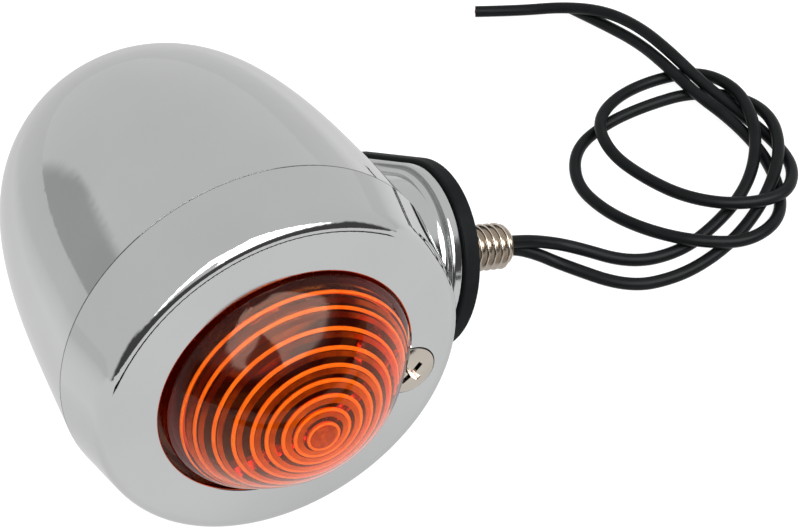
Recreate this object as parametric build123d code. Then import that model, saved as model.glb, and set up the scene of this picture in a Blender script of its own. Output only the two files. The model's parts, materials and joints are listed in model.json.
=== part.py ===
from build123d import *
import math
import os

# ----------------------------------------------------------------------------
# Bullet-style motorcycle turn signal with a hollow 5/16-18 mounting stud.
# Lamp frame: +Z is the lens axis, outward; z = 0 is the bezel's flat face;
# +X is the stud's axis.  At the end everything turns into the row frame, in
# which the lamp lies on its side, on its shell and its gasket's edge.
# ----------------------------------------------------------------------------

# bezel ring
OPEN_R = 19.85         # opening in the bezel's face
BEZEL_T = 2.4          # thickness of the bezel's plate
SEAM_Z = -11.15        # where the bezel's skirt ends
SEAM_R = 30.25         # outside radius at the seam
SEAM_GAP = 0.1
# screw through the bezel's ear
SCREW_X, SCREW_Y = 20.4, -0.4
SCREW_R = 2.08         # 8-32
HEAD_R = 4.22
EAR_R = 4.85
SCREW_END = -17.0
# shell
WALL = 2.6
SHELL = [(30.25, -11.2), (29.9, -19.0), (29.45, -28.0), (28.7, -37.0), (27.2, -46.5),
         (24.7, -55.0), (20.4, -62.3), (14.3, -67.7), (7.4, -71.7), (0.0, -73.3)]
SPIGOT_R = 27.0
SPIGOT_RI = 22.5
SPIGOT_Z = -6.6
# mounting base: a teardrop, its point towards the shell's closed end
STUD_Z = -27.2
BASE_R = 15.2
TAIL_R = 5.0
TAIL_D = 21.0
LIP_X0, LIP_X1 = 34.0, 36.1
NECK_IN = 1.7
GASKET_T = 2.8
GASKET_OVER = 0.6
# stud
STUD_R = 3.97          # 5/16 in
STUD_BORE = 2.3
STUD_X0, STUD_X1 = 19.6, 54.2
RELIEF_X0, RELIEF_X1 = 36.9, 38.95
# bulb and bayonet socket
GLOBE_R = 13.25
GLOBE_Z = -18.3
NECK_R = 6.6
BASE_SHELL_R = 7.6
BULB_BOTTOM = -52.5
PIN_Z = -43.5
PUSH = 1.8
SOCKET_RI, SOCKET_RO = 7.85, 8.6
SOCKET_MOUTH, SOCKET_END = -40.0, -65.4
BRACKET_Z = -48.2
BRACKET_T = 1.2
POST_Y = 19.5
# wires
WIRE_R = 1.1
WIRE_OFF = 1.13         # from the stud's axis to each wire's centre
WIRE_ROLL = 25.0       # the pair's turn about the stud's axis
WIRE_JOIN_X = 50.0

# resting pose: how far the stud dips and the lens axis lifts
DIP = 23.4
LIFT = 5.0

nodes = {}


def cyl_x(r, x0, x1, y=0.0, z=STUD_Z):
    return Location((x0, y, z), (0, 90, 0)) * Cylinder(r, x1 - x0, align=(Align.CENTER, Align.CENTER, Align.MIN))


def cyl_z(r, z0, z1, x=0.0, y=0.0):
    return Location((x, y, z0)) * Cylinder(r, z1 - z0, align=(Align.CENTER, Align.CENTER, Align.MIN))


def box(x0, x1, y0, y1, z0, z1):
    return Location(((x0 + x1) / 2, (y0 + y1) / 2, (z0 + z1) / 2)) * Box(x1 - x0, y1 - y0, z1 - z0)


def turned(points):
    """Solid of revolution about Z from a closed outline of (r, z) points."""
    wire = Polyline(*[(r, 0, z) for r, z in points], close=True)
    return revolve(Face(Wire(wire.edges())), Axis.Z)


def turned_edges(edges):
    return revolve(Face(Wire(edges)), Axis.Z)


def teardrop(grow, x0, x1):
    big, small = BASE_R + grow, TAIL_R + grow
    s = (big - small) / TAIL_D
    c = math.sqrt(1 - s * s)
    za, zb = STUD_Z, STUD_Z - TAIL_D
    pts = [(big * c, za - big * s), (small * c, zb - small * s), (-small * c, zb - small * s), (-big * c, za - big * s)]
    sk = Pos(0, za) * Circle(big) + Pos(0, zb) * Circle(small) + make_face(Polyline(*pts, close=True))
    return extrude(Plane((x0, 0, 0), x_dir=(0, 1, 0), z_dir=(1, 0, 0)) * sk, x1 - x0)


def offset_profile(points, d):
    out = []
    n = len(points)
    for i, (r, z) in enumerate(points):
        if i == 0:
            t = (points[1][0] - r, points[1][1] - z)
        elif i == n - 1:
            t = (-1.0, 0.0)
        else:
            t = (points[i + 1][0] - points[i - 1][0], points[i + 1][1] - points[i - 1][1])
        L = math.hypot(*t)
        nr, nz = t[1] / L, -t[0] / L          # inward normal
        out.append((max(r + nr * d, 0.0) if i < n - 1 else 0.0, z + nz * d))
    return out


def solid_from_profile(points, z_top):
    P = [Vector(r, 0, z) for r, z in points]
    t0 = P[1] - P[0]
    sp = Edge.make_spline(P, tangents=[t0, Vector(-1, 0, 0)])
    top = Vector(0, 0, z_top)
    edges = [sp, Edge.make_line(P[-1], top)]
    if z_top > points[0][1] + 1e-6:
        rim = Vector(P[0].X, 0, z_top)
        edges += [Edge.make_line(top, rim), Edge.make_line(rim, P[0])]
    else:
        edges += [Edge.make_line(top, P[0])]
    return turned_edges(edges)


def phillips(x, y, z_top, reach, width, depth, angle=0.0):
    cut = None
    for a in (0, 90):
        b = loft([Plane((0, 0, z_top + 0.01)) * Rectangle(2 * reach, width),
                  Plane((0, 0, z_top - depth)) * Rectangle(2 * reach * 0.45, width * 0.7)])
        b = Rot(0, 0, a + angle) * b
        cut = b if cut is None else cut + b
    return Location((x, y, 0)) * cut


# ------------------------------------------------------------------ shell
outer = solid_from_profile(SHELL, SHELL[0][1])
cavity = solid_from_profile(offset_profile(SHELL, WALL), -5.0)
neck = teardrop(-NECK_IN, 15.0, LIP_X0 + 0.01)
lip = teardrop(0.0, LIP_X0, LIP_X1)
try:
    lip = fillet(lip.edges().filter_by(lambda e: abs(e.center().X - LIP_X1) < 0.01 or abs(e.center().X - LIP_X0) < 0.01), 0.55)
except Exception as err:
    print("lip fillet left out:", err)
boss = neck + lip
try:
    root_edges = [e for e in boss.edges() if abs(e.center().X - LIP_X0) < 0.02 and abs(e.center().Y) <= BASE_R and e.length > 3
                  and e.bounding_box().size.X < 0.02]
    inner_edges = [e for e in root_edges if max(abs(e.bounding_box().max.Y), abs(e.bounding_box().min.Y)) < BASE_R - NECK_IN + 0.1]
    boss = fillet(inner_edges, 1.0)
except Exception as err:
    print("neck fillet left out:", err)
rim = cyl_z(SEAM_R, -14.0, SHELL[0][1]) & outer
shell = (outer + boss) - cavity
ring = (cyl_z(SEAM_R + 2, -14.0, SHELL[0][1]) & outer) + cyl_z(SPIGOT_R, -14.0, SPIGOT_Z)
ring = ring - cyl_z(SPIGOT_RI, -20, 0)
shell = shell + ring
pad = cyl_x(8.6, 25.5, 33.0) & (outer + boss)
pillar = cyl_z(4.3, -18.4, SPIGOT_Z, SCREW_X, SCREW_Y) + (box(SCREW_X, 29.5, SCREW_Y - 3.6, SCREW_Y + 3.6, -18.4, -11.4) & outer)
posts = (cyl_z(3.3, -72.0, BRACKET_Z, 0, POST_Y) + cyl_z(3.3, -72.0, BRACKET_Z, 0, -POST_Y)) & outer
shell = shell + pad + pillar + posts
shell = shell - cyl_x(STUD_R + 0.04, 10.0, 40.0)
shell = shell - cyl_z(SCREW_R + 0.06, SCREW_END - 0.6, 0.0, SCREW_X, SCREW_Y)
for s in (1, -1):
    shell = shell - cyl_z(1.54, -57.0, -45.0, 0, s * POST_Y)
nodes["housing_shell"] = shell

# ------------------------------------------------------------------ bezel
R1, Z1 = 28.62, -2.9
LIP_ROUND = 0.4
q = LIP_ROUND * (1 - math.sqrt(0.5))
e = [Edge.make_line(Vector(OPEN_R, 0, -BEZEL_T), Vector(OPEN_R, 0, -LIP_ROUND)),
     Edge.make_three_point_arc(Vector(OPEN_R, 0, -LIP_ROUND), Vector(OPEN_R + q, 0, -q), Vector(OPEN_R + LIP_ROUND, 0, 0)),
     Edge.make_line(Vector(OPEN_R + LIP_ROUND, 0, 0), Vector(25.9, 0, 0)),
     Edge.make_spline([Vector(25.9, 0, 0), Vector(27.75, 0, -0.72), Vector(R1, 0, Z1)],
                      tangents=[Vector(1, 0, 0), Vector(SEAM_R - 0.04 - R1, 0, SEAM_Z - Z1)]),
     Edge.make_line(Vector(R1, 0, Z1), Vector(SEAM_R - 0.04, 0, SEAM_Z + 0.14)),
     Edge.make_line(Vector(SEAM_R - 0.04, 0, SEAM_Z + 0.14), Vector(SEAM_R - 0.16, 0, SEAM_Z)),
     Edge.make_line(Vector(SEAM_R - 0.16, 0, SEAM_Z), Vector(SPIGOT_R + 0.35, 0, SEAM_Z)),
     Edge.make_line(Vector(SPIGOT_R + 0.35, 0, SEAM_Z), Vector(SPIGOT_R + 0.35, 0, -6.2)),
     Edge.make_line(Vector(SPIGOT_R + 0.35, 0, -6.2), Vector(25.2, 0, -4.2)),
     Edge.make_line(Vector(25.2, 0, -4.2), Vector(25.2, 0, -BEZEL_T)),
     Edge.make_line(Vector(25.2, 0, -BEZEL_T), Vector(OPEN_R, 0, -BEZEL_T))]
bezel = turned_edges(e)
ear = cyl_z(EAR_R, -BEZEL_T, 0.0, SCREW_X, SCREW_Y)
try:
    ear = chamfer(ear.edges().filter_by(GeomType.CIRCLE).sort_by(Axis.Z)[-1:], 0.3)
except Exception as err:
    print("ear chamfer left out:", err)
inside = cyl_z(25.5, -BEZEL_T, 0.1)
bezel = bezel + (ear & inside)
# a straight web fills the small notches where the ear leaves the ring
sink = Location((SCREW_X, SCREW_Y, 0)) * revolve(Face(Wire(Polyline((0, 0, 0.2), (HEAD_R + 0.12, 0, 0.2), (HEAD_R + 0.12, 0, -0.45),
       (SCREW_R + 0.25, 0, -2.15), (SCREW_R + 0.25, 0, -3.0), (0, 0, -3.0), close=True).edges())), Axis.Z)
bezel = bezel - sink
nodes["bezel_ring"] = bezel

# ------------------------------------------------------------------ screw
zt = 0.88
screw_e = [Edge.make_line(Vector(0, 0, SCREW_END), Vector(SCREW_R - 0.5, 0, SCREW_END)),
           Edge.make_line(Vector(SCREW_R - 0.5, 0, SCREW_END), Vector(SCREW_R, 0, SCREW_END + 0.7)),
           Edge.make_line(Vector(SCREW_R, 0, SCREW_END + 0.7), Vector(SCREW_R, 0, -2.1)),
           Edge.make_line(Vector(SCREW_R, 0, -2.1), Vector(HEAD_R - 0.05, 0, -0.38)),
           Edge.make_line(Vector(HEAD_R - 0.05, 0, -0.38), Vector(HEAD_R - 0.05, 0, 0.05)),
           Edge.make_three_point_arc(Vector(HEAD_R - 0.05, 0, 0.05), Vector(2.3, 0, 0.64), Vector(0, 0, zt)),
           Edge.make_line(Vector(0, 0, zt), Vector(0, 0, SCREW_END))]
screw = Location((SCREW_X, SCREW_Y, 0)) * turned_edges(screw_e)
screw = screw - phillips(SCREW_X, SCREW_Y, zt, 2.15, 0.9, 1.9, 54.7)
nodes["bezel_screw"] = screw

# ------------------------------------------------------------------ lens
DOME = [(19.2, 0.3), (18.8, 1.15), (18.1, 2.2), (17.1, 3.4), (15.9, 4.75), (14.5, 6.15), (12.9, 7.55), (11.0, 8.9),
        (9.0, 10.1), (6.9, 11.05), (4.7, 11.75), (2.4, 12.15), (0.0, 12.3)]
FLANGE_R = 24.6
LENS_X, LENS_Y = 0.3, 0.3     # the lens sits a little off the opening's centre
LENS_Z0 = -4.7
dome_pts = [Vector(r, 0, z) for r, z in DOME]
sp = Edge.make_spline(dome_pts, tangents=[Vector(-0.25, 0, 1), Vector(-1, 0, 0)])
lens_e = [Edge.make_line(Vector(0, 0, LENS_Z0), Vector(FLANGE_R, 0, LENS_Z0)),
          Edge.make_line(Vector(FLANGE_R, 0, LENS_Z0), Vector(FLANGE_R, 0, -BEZEL_T - 0.05)),
          Edge.make_line(Vector(FLANGE_R, 0, -BEZEL_T - 0.05), Vector(19.2, 0, -BEZEL_T - 0.05)),
          Edge.make_line(Vector(19.2, 0, -BEZEL_T - 0.05), dome_pts[0]), sp,
          Edge.make_line(dome_pts[-1], Vector(0, 0, LENS_Z0))]
lens = Location((LENS_X, LENS_Y, 0)) * turned_edges(lens_e)
notch = cyl_z(EAR_R + 0.25, LENS_Z0 - 1, 20, SCREW_X, SCREW_Y)
lens = lens - notch
# inner face: a dome with concentric rounded ridges
RIB_R = [17.95, 15.75, 13.55, 11.4, 9.4, 7.5, 5.6, 3.8, 2.1]
inner_pts = [(17.2, LENS_Z0 - 1.0), (17.2, -1.5), (16.9, 0.2), (16.2, 1.7), (15.2, 3.1), (13.9, 4.5), (12.3, 5.9), (10.4, 7.2),
             (8.3, 8.35), (6.2, 9.2), (4.2, 9.8), (2.0, 10.15), (0.0, 10.25)]
ip = [Vector(r, 0, z) for r, z in inner_pts[1:]]
isp = Edge.make_spline(ip, tangents=[Vector(-0.1, 0, 1), Vector(-1, 0, 0)])
bot = LENS_Z0 - 1.0
cav_e = [isp, Edge.make_line(ip[-1], Vector(0, 0, bot)), Edge.make_line(Vector(0, 0, bot), Vector(17.2, 0, bot)),
         Edge.make_line(Vector(17.2, 0, bot), ip[0])]
cav = turned_edges(cav_e)


def inner_z(r):
    pts = sorted(inner_pts[1:])
    for (ra, za), (rb, zb) in zip(pts, pts[1:]):
        if ra <= r <= rb:
            return za + (zb - za) * (r - ra) / (rb - ra)
    return pts[-1][1]


for rr in RIB_R[1:]:
    cav = cav - Location((0, 0, inner_z(rr) + 0.28)) * Torus(rr, 0.72)
cav = Location((LENS_X, LENS_Y, 0)) * cav
cav = cav - cyl_z(EAR_R + 2.0, LENS_Z0 - 2, 20, SCREW_X, SCREW_Y)
lens = lens - cav
nodes["lens"] = lens

gas = cyl_z(24.5, -6.45, LENS_Z0) - cyl_z(22.2, -7, 0)
gas = gas - cyl_z(EAR_R + 0.5, -8, 0, SCREW_X, SCREW_Y)
nodes["lens_gasket"] = gas

# ------------------------------------------------------------------ mounting
gx0, gx1 = LIP_X1, LIP_X1 + GASKET_T
gk = teardrop(GASKET_OVER, gx0, gx1)
try:
    gk = fillet(gk.edges().filter_by(lambda q: q.bounding_box().size.X < 0.01), 0.45)
except Exception as err:
    print("gasket fillet left out:", err)
gk = gk - cyl_x(STUD_R + 0.05, 30, 45)
nodes["mounting_gasket"] = gk

stud = cyl_x(STUD_R, STUD_X0, STUD_X1)
stud = chamfer(stud.edges().filter_by(GeomType.CIRCLE), 0.7)
stud = stud - cyl_x(STUD_BORE, STUD_X0 - 1, STUD_X1 + 1)
# a thread relief inside the gasket parts the bare length from the length in the shell
stud = stud - (cyl_x(STUD_R + 1, RELIEF_X0, RELIEF_X1) - cyl_x(STUD_R - 0.45, RELIEF_X0 - 1, RELIEF_X1 + 1))
nodes["mounting_stud"] = stud

hexa = extrude(Plane((20.7, 0, STUD_Z), x_dir=(0, 1, 0), z_dir=(1, 0, 0)) * RegularPolygon(12.7 / 2, 6, major_radius=False), 4.0)
hexa = hexa & (Location((20.7, 0, STUD_Z), (0, 90, 0)) * Cone(7.45, 8.6, 4.0, align=(Align.CENTER, Align.CENTER, Align.MIN)))
nodes["stud_jam_nut"] = hexa - cyl_x(STUD_R + 0.04, 15, 30)
lw = cyl_x(6.9, 24.7, 25.5) - cyl_x(STUD_R + 0.25, 20, 30)
for k in range(12):
    a = math.radians(k * 30 + 15)
    lw = lw - Location((25.1, 7.2 * math.cos(a), STUD_Z + 7.2 * math.sin(a)), (k * 30 + 15, 0, 0)) * Box(2, 1.6, 1.0)
nodes["stud_lock_washer"] = lw

# ------------------------------------------------------------------ socket
sock = cyl_z(SOCKET_RO, SOCKET_END, SOCKET_MOUTH) - cyl_z(SOCKET_RI, SOCKET_END + 0.6, 0) - cyl_z(6.5, -70, 0)
for side in (0, 180):
    slot = box(-1.25, 1.25, 6.5, 10.5, PIN_Z - PUSH - 1.3, PIN_Z + 1.1)
    entry = Rot(0, 0, 20) * box(-1.25, 1.25, 6.5, 10.5, PIN_Z - PUSH - 1.3, SOCKET_MOUTH + 1)
    cross = entry
    for a in (4, 8, 12, 16):
        slot = slot + Rot(0, 0, a) * box(-1.25, 1.25, 6.5, 10.5, PIN_Z - PUSH - 1.3, PIN_Z - PUSH + 1.2)
    sock = sock - Rot(0, 0, side) * (slot + entry)
nodes["socket_shell"] = sock

br = cyl_z(11.6, BRACKET_Z, BRACKET_Z + BRACKET_T) + box(-4.2, 4.2, -POST_Y, POST_Y, BRACKET_Z, BRACKET_Z + BRACKET_T)
for s in (1, -1):
    br = br + cyl_z(4.2, BRACKET_Z, BRACKET_Z + BRACKET_T, 0, s * POST_Y)
br = br + cyl_z(9.9, BRACKET_Z + BRACKET_T, BRACKET_Z + BRACKET_T + 0.35)
br = br - cyl_z(SOCKET_RO + 0.02, -60, -30)
for s in (1, -1):
    br = br - cyl_z(1.75, -60, -30, 0, s * POST_Y)
nodes["socket_bracket"] = br


def pan_screw(y, z_seat):
    h = turned([(0, z_seat - 8.0), (1.1, z_seat - 8.0), (1.5, z_seat - 7.5), (1.5, z_seat), (2.9, z_seat), (2.9, z_seat + 1.0),
                (2.3, z_seat + 1.75), (1.2, z_seat + 2.0), (0, z_seat + 2.0)])
    h = h - phillips(0, 0, z_seat + 2.0, 1.6, 0.7, 1.3, 20 + y)
    return Location((0, y, 0)) * h


TOP = BRACKET_Z + BRACKET_T
s1 = pan_screw(POST_Y, TOP)
s2 = pan_screw(-POST_Y, TOP + 0.6)
nodes["bracket_screws"] = Compound(children=[s1.solid(), s2.solid()])

term = cyl_z(3.5, TOP, TOP + 0.6, 0, -POST_Y) + box(0, 4.6, -POST_Y - 1.3, -POST_Y + 1.3, TOP, TOP + 0.6)
term = term + (Location((4.3, -POST_Y, TOP + 1.5), (0, 90, 0)) * Cylinder(1.5, 4.2, align=(Align.CENTER, Align.CENTER, Align.MIN)))
term = term - cyl_z(1.7, -50, -40, 0, -POST_Y)
nodes["ground_terminal"] = term
GROUND_END = (8.55, -POST_Y, TOP + 1.5)

disc = cyl_z(SOCKET_RI - 0.05, SOCKET_END + 0.62, -63.4) - box(-0.6, 2.1, -1.6, 1.6, -70, -60)
nodes["socket_base_disc"] = disc
tab = (cyl_z(5.6, -63.4, -63.05)) + box(0.9, 1.7, -1.4, 1.4, -67.9, -63.2)
nodes["hot_terminal"] = tab
HOT_END = (1.75, 0.0, -66.65)

plunger = cyl_z(7.45, -57.0, -55.0) - cyl_z(1.2, -60, -50)
plunger = plunger - (cyl_z(7.6, -56.0, -54.9) - cyl_z(6.6, -57, -54))
nodes["contact_plunger"] = plunger
tip = turned([(0, -54.05), (1.7, -54.1), (2.5, -54.55), (2.5, -55.0), (1.18, -55.0), (1.18, -57.02), (2.1, -57.02), (1.6, -57.8), (0, -57.9)])
nodes["contact_tip"] = tip
# conical-ended compression spring between the plunger and the hot terminal
SPR_R, SPR_W = 4.6, 0.42
z_a, z_b = -63.05 + SPR_W + 0.02, -57.0 - SPR_W - 0.02
hx = Edge.make_helix(pitch=(z_b - z_a) / 4.0, height=(z_b - z_a), radius=SPR_R, center=(0, 0, z_a))
tan0 = hx.tangent_at(0)
prof = Plane(origin=hx.position_at(0), z_dir=tan0) * Circle(SPR_W)
spring = sweep(prof, path=hx, is_frenet=True)
nodes["contact_spring"] = spring

# ------------------------------------------------------------------ bulb
GT = 0.8


def globe(grow):
    g = GLOBE_R - grow
    n = NECK_R - grow
    zj = GLOBE_Z - math.sqrt(g * g - 9.2 ** 2)
    a = Vector(9.2, 0, zj)
    arc = Edge.make_three_point_arc(Vector(0, 0, GLOBE_Z + g), Vector(g, 0, GLOBE_Z), a)
    # tangent at a, heading down
    t = Vector(-(GLOBE_Z - zj) / g, 0, -9.2 / g)
    b = Vector(n, 0, -33.6)
    sp_ = Edge.make_spline([a, b], tangents=[t, Vector(0, 0, -1)])
    return arc, sp_, b


arc, spn, b = globe(0.0)
g_out = turned_edges([arc, spn, Edge.make_line(b, Vector(NECK_R, 0, -41.0)), Edge.make_line(Vector(NECK_R, 0, -41.0), Vector(0, 0, -41.0)),
                      Edge.make_line(Vector(0, 0, -41.0), Vector(0, 0, GLOBE_Z + GLOBE_R))])
arc, spn, b = globe(GT)
g_in = turned_edges([arc, spn, Edge.make_line(b, Vector(NECK_R - GT, 0, -42.0)), Edge.make_line(Vector(NECK_R - GT, 0, -42.0), Vector(0, 0, -42.0)),
                     Edge.make_line(Vector(0, 0, -42.0), Vector(0, 0, GLOBE_Z + GLOBE_R - GT))])
nodes["bulb_glass"] = g_out - g_in
stem = turned([(0, -41.0), (5.75, -41.0), (5.75, -40.2), (2.6, -38.6), (2.2, -36), (2.0, -30.4), (1.2, -29.4), (0, -29.2)])
sup = None
for s in (1, -1):
    p = Polyline((0, s * 1.0, -37.0), (0, s * 1.3, -30.0), (0, s * 3.1, -24.5), (0, s * 3.4, -20.9))
    w = sweep(Plane(origin=p @ 0, z_dir=p % 0) * Circle(0.28), path=p, transition=Transition.ROUND)
    sup = w if sup is None else Compound(children=[sup.solid(), w.solid()])
nodes["filament_supports"] = sup
for sld in sup.solids():
    stem = stem - sld
nodes["bulb_stem"] = stem
fil = Location((0, -3.0, -20.5), (-90, 0, 0)) * Cylinder(0.62, 6.0, align=(Align.CENTER, Align.CENTER, Align.MIN))
for sld in sup.solids():
    fil = fil - sld
nodes["bulb_filament"] = fil
base = cyl_z(BASE_SHELL_R, BULB_BOTTOM + 0.2, -36.0) - cyl_z(6.9, BULB_BOTTOM - 1, -30)
base = base - (cyl_z(9, -38.6, -37.6) - cyl_z(7.25, -39, -37))
ins = turned([(2.8, BULB_BOTTOM - 0.35), (5.4, BULB_BOTTOM - 0.15), (6.85, BULB_BOTTOM + 0.2), (6.85, BULB_BOTTOM + 2.6), (0, BULB_BOTTOM + 2.6), (0, BULB_BOTTOM + 0.5),
              (2.8, BULB_BOTTOM + 0.5)])
nodes["bulb_insulator"] = ins
con = turned([(0, BULB_BOTTOM + 0.5), (2.8, BULB_BOTTOM + 0.5), (2.8, BULB_BOTTOM - 0.6), (2.3, BULB_BOTTOM - 1.2), (1.2, BULB_BOTTOM - 1.48), (0, BULB_BOTTOM - 1.54)])
nodes["bulb_contact"] = con
pins = []
for s in (1, -1):
    pn = Location((0, s * 6.9, PIN_Z), (-90 * s, 0, 0)) * Cylinder(1.0, 1.85, align=(Align.CENTER, Align.CENTER, Align.MIN))
    base = base - pn
    pins.append(pn)
nodes["bulb_base"] = base
nodes["bulb_pins"] = Compound(children=[p_.solid() for p_ in pins])

# ------------------------------------------------------------------ leads inside the lamp


def tube(points, radii, r):
    path = FilletPolyline(*points, radius=radii)
    w = Wire(path.edges()) if not isinstance(path, Wire) else path
    start = w.position_at(0)
    face = Plane(origin=start, z_dir=w.tangent_at(0)) * Circle(r)
    s = sweep(face, path=w)
    print("   length %.1f  volume %.1f  section x length %.1f" % (w.length, s.volume, math.pi * r * r * w.length))
    return s


def corner_radii(points, k=0.45, least=0.0):
    out = []
    for a, b_, c in zip(points, points[1:], points[2:]):
        u, v = Vector(*b_) - Vector(*a), Vector(*c) - Vector(*b_)
        ang = math.radians(u.get_angle(v))
        out.append(k * min(u.length, v.length) / math.tan(ang / 2))
    return out


OY = WIRE_OFF * math.cos(math.radians(WIRE_ROLL))
OZ = WIRE_OFF * math.sin(math.radians(WIRE_ROLL))
hot = [(WIRE_JOIN_X, OY, STUD_Z + OZ), (14.6, OY, STUD_Z + OZ), (13.6, 4.6, -40.0), (13.6, 3.6, -57.5), (10.3, 0.0, -66.65), HOT_END]
rad = [min(q, 12.0) for q in corner_radii(hot)]
rad[0] = 4.2
print("inner_wire_hot radii", [round(q, 1) for q in rad])
nodes["inner_wire_hot"] = tube(hot, rad, WIRE_R)
gnd = [(WIRE_JOIN_X, -OY, STUD_Z - OZ), (14.6, -OY, STUD_Z - OZ), (14.4, -8.5, -36.0), (14.6, -19.5, TOP + 1.5), GROUND_END]
rad = [min(q, 12.0) for q in corner_radii(gnd)]
rad[0] = 4.2
print("inner_wire_ground radii", [round(q, 1) for q in rad])
nodes["inner_wire_ground"] = tube(gnd, rad, WIRE_R)

# ------------------------------------------------------------------ row frame
a, t = math.radians(DIP), math.radians(LIFT)
n = Vector(-math.cos(t) * math.sin(a), math.cos(t) * math.cos(a), math.sin(t))      # up, in the lamp frame
ex = (Vector(1, 0, 0) - n * n.X).normalized()
ey = n.cross(ex)
# lamp axes written in the row frame
lx = Vector(ex.X, ey.X, n.X)
lz = Vector(ex.Z, ey.Z, n.Z)
turn = Location(Plane(origin=(0, 0, 0), x_dir=lx, z_dir=lz))
low, high = [1e9] * 3, [-1e9] * 3
placed = {}
for name, s in nodes.items():
    m = turn * s
    placed[name] = m
    bb = m.bounding_box()
    low = [min(p, q) for p, q in zip(low, bb.min)]
    high = [max(p, q) for p, q in zip(high, bb.max)]
shift = Vector(-(low[0] + high[0]) / 2, -(low[1] + high[1]) / 2, -low[2])
print("lamp box", [round(q, 3) for q in low], [round(q, 3) for q in high], "shift", shift)
placed = {k: Location(shift) * v for k, v in placed.items()}

# ------------------------------------------------------------------ the two loose leads
# Control points in the row frame, from inside the stud's bore to the free end.
WIRE_1 = [
    (35.62, -3.62, 10.96), (41.41, -3.62, 8.46), (45.89, -4.08, 6.25), (50.96, -5.66, 3.70),
    (58.62, -12.47, 1.49), (67.37, -14.22, 1.12), (75.67, -12.42, 1.64), (83.90, -8.89, 2.46),
    (90.21, -3.17, 3.29), (94.72, 4.49, 4.11), (96.55, 13.16, 3.95), (94.30, 21.91, 1.95), (86.28, 24.92, 1.31),
    (77.07, 23.44, 2.51), (69.92, 18.46, 3.70), (67.84, 9.85, 4.02), (69.81, 1.15, 4.34), (73.48, -6.84, 4.66),
    (80.07, -12.99, 4.97), (88.95, -14.43, 4.03), (95.07, -8.15, 2.22), (96.37, 0.78, 1.12), (94.56, 9.35, 1.85),
    (91.92, 17.55, 3.78), (90.27, 25.98, 5.70), (89.04, 34.65, 5.79), (86.45, 42.98, 4.79), (81.49, 50.03, 2.96),
    (73.83, 55.84, 1.12), (66.69, 59.95, 1.12)]
WIRE_2 = [
    (34.78, -2.86, 9.00), (40.56, -2.86, 6.51), (44.60, -4.38, 4.20), (47.94, -6.76, 1.89),
    (55.49, -16.55, 1.12), (63.79, -18.89, 1.12), (72.42, -17.96, 1.12), (80.83, -15.01, 1.55),
    (88.39, -10.56, 3.19), (94.48, -4.34, 4.12), (98.30, 3.95, 3.22), (97.64, 12.67, 1.25), (90.67, 18.46, 1.12),
    (81.87, 19.77, 1.12), (72.84, 19.58, 1.12), (64.41, 16.74, 1.12), (60.06, 8.94, 1.12), (60.69, -0.03, 2.08),
    (64.01, -8.20, 3.04), (69.28, -15.38, 3.99), (77.34, -19.59, 3.11), (85.87, -17.34, 2.12),
    (90.80, -9.78, 1.12), (93.00, -1.05, 1.12), (92.16, 7.57, 2.19), (89.68, 16.08, 3.25), (88.60, 24.68, 4.09),
    (88.15, 33.53, 3.09), (85.71, 42.85, 2.09), (83.31, 50.81, 1.12)]
for name, route in (("wire_1", WIRE_1), ("wire_2", WIRE_2)):
    radii = corner_radii(route)
    print(name, "radii", [round(q, 1) for q in radii], "least %.1f" % min(radii))
    placed[name] = tube(route, radii, WIRE_R)

os.makedirs("parts", exist_ok=True)
for name, s in placed.items():
    export_step(s, "parts/%s.step" % name)
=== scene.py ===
import bpy
import bmesh
import json
import math
import numpy as np
from mathutils import Matrix, Vector


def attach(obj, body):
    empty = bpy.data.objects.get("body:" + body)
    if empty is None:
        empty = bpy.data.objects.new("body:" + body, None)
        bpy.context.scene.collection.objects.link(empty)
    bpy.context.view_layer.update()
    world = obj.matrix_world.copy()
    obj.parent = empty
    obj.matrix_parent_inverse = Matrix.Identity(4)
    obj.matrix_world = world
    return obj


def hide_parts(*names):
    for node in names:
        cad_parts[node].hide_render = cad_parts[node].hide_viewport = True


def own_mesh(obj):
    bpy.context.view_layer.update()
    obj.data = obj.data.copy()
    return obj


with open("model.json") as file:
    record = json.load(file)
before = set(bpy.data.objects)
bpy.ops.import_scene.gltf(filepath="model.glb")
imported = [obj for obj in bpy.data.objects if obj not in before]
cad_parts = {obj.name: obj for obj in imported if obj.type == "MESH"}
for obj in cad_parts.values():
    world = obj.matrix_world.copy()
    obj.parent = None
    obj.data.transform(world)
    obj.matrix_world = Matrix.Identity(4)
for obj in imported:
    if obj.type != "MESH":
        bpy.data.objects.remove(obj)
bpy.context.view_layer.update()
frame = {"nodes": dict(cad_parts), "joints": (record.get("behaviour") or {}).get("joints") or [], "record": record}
NODES = frame["nodes"]
RECORD = frame["record"]
MM = 0.001

# ---------------------------------------------------------------- lamp axes in the row frame
mount = {m["name"]: m for m in RECORD["mounts"]}
joint = {j["name"]: j for j in frame["joints"]}
X = Vector(mount["stud"]["axis"]).normalized()
Z = Vector(joint["bezel_lift"]["axis"]).normalized()
Y = Z.cross(X).normalized()
O = Vector(mount["stud"]["pos_m"]) - X * 0.0465 + Z * 0.0272
LAMP = Matrix((
    (X.x, Y.x, Z.x, O.x),
    (X.y, Y.y, Z.y, O.y),
    (X.z, Y.z, Z.z, O.z),
    (0, 0, 0, 1)))


def lamp(x, y, z):
    """A point of the lamp's own frame, given in mm, in the row frame."""
    return LAMP @ Vector((x * MM, y * MM, z * MM))


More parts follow.
